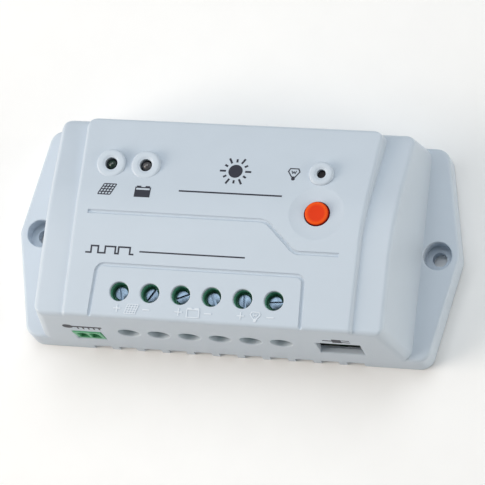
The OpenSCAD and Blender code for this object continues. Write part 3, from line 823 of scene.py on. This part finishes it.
def noise(tree, scale, detail=3.0, stretch=None):
    """Noise over the object, drawn out by stretch."""
    coords = tree.nodes.new("ShaderNodeTexCoord")
    source = coords.outputs["Object"]
    if stretch:
        mapping = tree.nodes.new("ShaderNodeMapping")
        mapping.inputs["Scale"].default_value = stretch
        tree.links.new(source, mapping.inputs["Vector"])
        source = mapping.outputs["Vector"]
    texture = tree.nodes.new("ShaderNodeTexNoise")
    texture.inputs["Scale"].default_value = scale
    texture.inputs["Detail"].default_value = detail
    tree.links.new(source, texture.inputs["Vector"])
    return texture.outputs["Fac"]


def vary_colour(tree, shader, fac, dark, light):
    """Base colour that goes from dark to light with fac."""
    ramp = tree.nodes.new("ShaderNodeValToRGB")
    for end, place, colour in zip(ramp.color_ramp.elements, (0.3, 0.7), (dark, light)):
        end.position = place
        end.color = (*colour, 1)
    tree.links.new(fac, ramp.inputs["Fac"])
    tree.links.new(ramp.outputs["Color"], shader.inputs["Base Color"])


def vary_roughness(tree, shader, fac, low, high):
    """Roughness that goes from low to high with fac."""
    span = tree.nodes.new("ShaderNodeMapRange")
    span.inputs["To Min"].default_value = low
    span.inputs["To Max"].default_value = high
    tree.links.new(fac, span.inputs["Value"])
    tree.links.new(span.outputs["Result"], shader.inputs["Roughness"])


def add_bump(tree, shader, fac, depth_mm):
    """Relief of that depth."""
    bump = tree.nodes.new("ShaderNodeBump")
    bump.inputs["Strength"].default_value = 1.0
    bump.inputs["Distance"].default_value = depth_mm * MM
    tree.links.new(fac, bump.inputs["Height"])
    tree.links.new(bump.outputs["Normal"], shader.inputs["Normal"])


def moulded(name, colour, roughness, grain=2600, depth=0.012, spread=0.03, specular=0.5):
    """Moulded plastic: fine grain, slight mottling of colour and gloss."""
    made, tree, shader = material(name, colour, roughness, specular=specular)
    broad = noise(tree, 90, 2.0)
    fine = noise(tree, grain, 2.0)
    dark = tuple(c * (1 - spread) for c in colour)
    light = tuple(min(1.0, c * (1 + spread)) for c in colour)
    vary_colour(tree, shader, broad, dark, light)
    vary_roughness(tree, shader, broad, roughness - 0.05, roughness + 0.05)
    add_bump(tree, shader, fine, depth)
    return made


def metal(name, colour, roughness, stretch, scale=1500, depth=0.004, stain_and_painted_reflection=0.14):
    """Metal with fine marks along one direction."""
    made, tree, shader = material(name, colour, roughness, metallic=1.0)
    marks = noise(tree, scale, 3.0, stretch)
    cloud = noise(tree, 420, 3.0)
    # Cloudy darker patches: light stains at the default strength, and painted reflection where set high,
    # as on the screw heads.
    vary_colour(tree, shader, cloud, tuple(c * (1 - stain_and_painted_reflection) for c in colour), colour)
    vary_roughness(tree, shader, cloud, roughness - 0.06, roughness + 0.1)
    add_bump(tree, shader, marks, depth)
    return made


def lens(name, colour, roughness=0.12, coat=0.25, specular=0.6):
    """Tinted epoxy of a lamp, slightly cloudy."""
    made, tree, shader = material(name, colour, roughness, coat=coat, specular=specular)
    shader.inputs["Coat Roughness"].default_value = 0.05
    cloud = noise(tree, 900, 2.0)
    dark = tuple(c * 0.7 for c in colour)
    light = tuple(min(1, c * 1.25) for c in colour)
    vary_colour(tree, shader, cloud, dark, light)
    return made


def silicone(name, axis):
    """Silicone of the button: a red face, an orange rim that is painted light coming through, and a darker
    red side that is painted shade.
    """
    made, tree, shader = material(name, (0.75, 0.05, 0.006), 0.5, specular=0.12)
    coords = tree.nodes.new("ShaderNodeTexCoord")
    flat = tree.nodes.new("ShaderNodeMapping")
    flat.inputs["Location"].default_value = (-axis[0] * MM, -axis[1] * MM, 0)
    flat.inputs["Scale"].default_value = (1, 1, 0)
    tree.links.new(coords.outputs["Object"], flat.inputs["Vector"])
    radius = tree.nodes.new("ShaderNodeVectorMath")
    radius.operation = "LENGTH"
    tree.links.new(flat.outputs["Vector"], radius.inputs[0])
    share = tree.nodes.new("ShaderNodeMapRange")
    share.inputs["From Max"].default_value = BUTTON_R * MM
    tree.links.new(radius.outputs["Value"], share.inputs["Value"])
    # The ramp paints light and shade by radius: the orange stops paint light coming through the rim, and
    # the deep red last stop paints shade on the side.
    ramp = tree.nodes.new("ShaderNodeValToRGB")
    stops = ramp.color_ramp.elements
    stops[0].position = 0.62
    stops[0].color = (0.74, 0.042, 0.004, 1)
    stops[1].position = 0.99
    stops[1].color = (0.40, 0.006, 0.002, 1)
    for place, colour in ((0.80, (0.84, 0.085, 0.005)), (0.92, (0.86, 0.095, 0.006))):
        stops.new(place).color = (*colour, 1)
    tree.links.new(share.outputs["Result"], ramp.inputs["Fac"])
    tree.links.new(ramp.outputs["Color"], shader.inputs["Base Color"])
    fine = noise(tree, 1800, 2.0)
    vary_roughness(tree, shader, fine, 0.46, 0.56)
    add_bump(tree, shader, fine, 0.006)
    return made


def dress(ob, look):
    """Gives the whole piece one material."""
    ob.data.materials.clear()
    ob.data.materials.append(look)
    for face in ob.data.polygons:
        face.material_index = 0


# ---------------------------------------------------------------- build

COVER_COLOUR = (0.541, 0.611, 0.690)
FLOOR_COLOUR = (0.93, 0.93, 0.93)
WORLD_COLOUR, WORLD_STRENGTH = (0.90, 0.97, 1.0), 0.17

looks = {
    "housing": moulded("cover_plastic", COVER_COLOUR, 0.42, depth=0.010, spread=0.012, specular=0.45),
    "ink": moulded("printed_ink", (0.012, 0.013, 0.028), 0.5, spread=0.1, depth=0.004),
    # The raised marks are coloured lighter than the cover as a painted highlight, for the light their
    # raised edges catch.
    "raised": moulded("raised_marks", (0.69, 0.75, 0.82), 0.36, depth=0.004, spread=0.01),
    "base_metal": metal("base_aluminium", (0.62, 0.63, 0.65), 0.42, (1, 14, 1)),
    "steel": metal("zinc_steel", (0.58, 0.60, 0.63), 0.34, (1, 1, 6)),
    "board": moulded("board_resist", (0.012, 0.095, 0.035), 0.32, grain=1200, spread=0.12),
    "terminal_green": moulded("terminal_polyamide", (0.155, 0.490, 0.330), 0.38, spread=0.06),
    "tin_plate": metal("tin_plate", (0.70, 0.68, 0.64), 0.36, (1, 8, 1)),
    # Screw heads: the strong dark patches (0.5) are painted reflection, standing in for the dark and light
    # areas mirrored in the heads.
    "screw_nickel": metal("screw_nickel", (0.20, 0.27, 0.35), 0.24, (1, 9, 1), scale=2200, stain_and_painted_reflection=0.5),
    "clamp_nickel": metal("clamp_nickel", (0.68, 0.68, 0.66), 0.32, (1, 1, 8)),
    "lamp_green": lens("lamp_green_epoxy", (0.010, 0.030, 0.018)),
    "lamp_grey": lens("lamp_clear_epoxy", (0.085, 0.080, 0.082)),
    "lamp_dark": lens("lamp_dark_epoxy", (0.010, 0.006, 0.008), roughness=0.45, coat=0.05, specular=0.15),
    "black_plastic": moulded("black_polyester", (0.018, 0.018, 0.020), 0.4, spread=0.1),
    "button_orange": silicone("button_silicone", (BUTTON_X, BUTTON_Y)),
    "contact_gold": metal("contact_gold", (0.86, 0.62, 0.24), 0.24, (1, 8, 1)),
    "socket_green": moulded("socket_polyamide", (0.120, 0.430, 0.225), 0.42, spread=0.05),
    "chip_black": moulded("chip_epoxy", (0.016, 0.016, 0.018), 0.5, grain=1600, spread=0.12),
    "thermal_pad": moulded("silicone_pad", (0.33, 0.38, 0.45), 0.7, grain=900, spread=0.06),
    "capacitor_sleeve": moulded("capacitor_film", (0.012, 0.016, 0.045), 0.25, spread=0.1),
    "shunt_alloy": metal("shunt_alloy", (0.52, 0.40, 0.30), 0.4, (1, 8, 1)),
}

cover = make_cover()
dress(cover, looks["housing"])
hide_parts("top_cover")
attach(cover, "root")

for mark in make_ink_marks():
    dress(mark, looks["ink"])
    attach(mark, "root")
for mark in make_raised_marks():
    dress(mark, looks["raised"])
    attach(mark, "root")

for i in range(len(TERMINAL_XS)):
    dress(make_terminal_screw(i), looks["screw_nickel"])
dress(make_button(), looks["button_orange"])
for (name, x, window_r, _, _), slot_name in zip(LAMPS, ("lamp_green", "lamp_grey", "lamp_dark")):
    lamp = make_lamp(name, x, window_r)
    dress(lamp, looks[slot_name])

# CAD nodes that keep their own shape
carried = {
    "base_plate": "base_metal", "case_screws": "steel", "circuit_board": "board",
    "terminal_block": "terminal_green", "terminal_bars": "tin_plate", "lamp_leads": "tin_plate",
    "lamp_spacers": "black_plastic", "switch_plunger": "black_plastic", "switch_body": "black_plastic",
    "data_socket": "black_plastic", "data_contacts": "contact_gold", "sensor_socket": "socket_green",
    "sensor_pins": "tin_plate", "power_transistors": "chip_black", "transistor_leads": "tin_plate",
    "thermal_pad": "thermal_pad", "capacitors": "capacitor_sleeve", "capacitor_leads": "tin_plate",
    "microcontroller": "chip_black", "driver_chips": "chip_black", "surge_diode": "chip_black",
    "current_shunt": "shunt_alloy",
}
carried.update({f"wire_clamp_{i + 1}": "clamp_nickel" for i in range(6)})
for node, look in carried.items():
    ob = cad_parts[node]
    if not ob.material_slots:
        ob.data.materials.append(looks[look])
    for place in ob.material_slots:
        place.material = looks[look]

# ---------------------------------------------------------------- floor, light, camera

floor_bm = bmesh.new()
bmesh.ops.create_grid(floor_bm, x_segments=1, y_segments=1, size=3.0)
floor = new_object("floor", floor_bm)
floor.location = (0, 0, -0.0002)
floor_look = moulded("pale_floor", FLOOR_COLOUR, 0.8, grain=60, depth=0.02, spread=0.006)
dress(floor, floor_look)

world = bpy.data.worlds.new("studio")
bpy.context.scene.world = world
world.use_nodes = True
background = world.node_tree.nodes["Background"]
background.inputs["Color"].default_value = (*WORLD_COLOUR, 1)
background.inputs["Strength"].default_value = WORLD_STRENGTH


def area_light(name, place, size, power, colour):
    """Square soft light that points at the part."""
    data = bpy.data.lights.new(name, "AREA")
    data.shape = "SQUARE"
    data.size = size
    data.energy = power
    data.color = colour
    light = bpy.data.objects.new(name, data)
    bpy.context.collection.objects.link(light)
    light.location = place
    light.rotation_mode = "QUATERNION"
    light.rotation_quaternion = (Vector(LIGHT_AIM) - Vector(place)).to_track_quat("-Z", "Y")


LIGHT_AIM = (0, 0, 0.02)
LIGHTS = (  # name, place, size, power, colour
    ("key", (-0.92, -0.28, 0.48), 0.6, 8.4, (1.0, 0.89, 0.78)),
    ("high", (-0.60, 0.10, 0.92), 0.7, 3.2, (0.93, 0.97, 1.0)),
    ("overhead", (0.05, 0.60, 1.15), 0.9, 6.7, (0.93, 0.97, 1.0)),
    ("right", (1.05, -0.15, 0.28), 0.8, 6.1, (1.0, 0.955, 0.87)),
)
for name, place, size, power, colour in LIGHTS:
    area_light(name, place, size, power, colour)

CAMERA_AZIMUTH, CAMERA_ELEVATION, CAMERA_ROLL = 48.25, 70.34, 43.25
CAMERA_AIM, CAMERA_DISTANCE = Vector((3.32, -1.90, 15.0)), 868.25
CAMERA_LENS, CAMERA_SENSOR = 211.0, 36.0
CAMERA_SHIFT = (0.0045, 0.0064)

camera_data = bpy.data.cameras.new("camera")
camera_data.sensor_width = CAMERA_SENSOR
camera_data.lens = CAMERA_LENS
camera_data.shift_x, camera_data.shift_y = CAMERA_SHIFT
camera_data.clip_start = 0.05
camera_data.clip_end = 20
camera = bpy.data.objects.new("camera", camera_data)
bpy.context.collection.objects.link(camera)
azimuth, elevation = math.radians(CAMERA_AZIMUTH), math.radians(CAMERA_ELEVATION)
level = math.cos(elevation)
back = Vector((math.sin(azimuth) * level, -math.cos(azimuth) * level, math.sin(elevation)))
camera.location = (CAMERA_AIM + back * CAMERA_DISTANCE) * MM
camera.rotation_mode = "QUATERNION"
roll = Matrix.Rotation(math.radians(-CAMERA_ROLL), 3, "Z").to_quaternion()
camera.rotation_quaternion = (-back).to_track_quat("-Z", "Y") @ roll
bpy.context.scene.camera = camera
bpy.context.scene.view_settings.view_transform = "Standard"
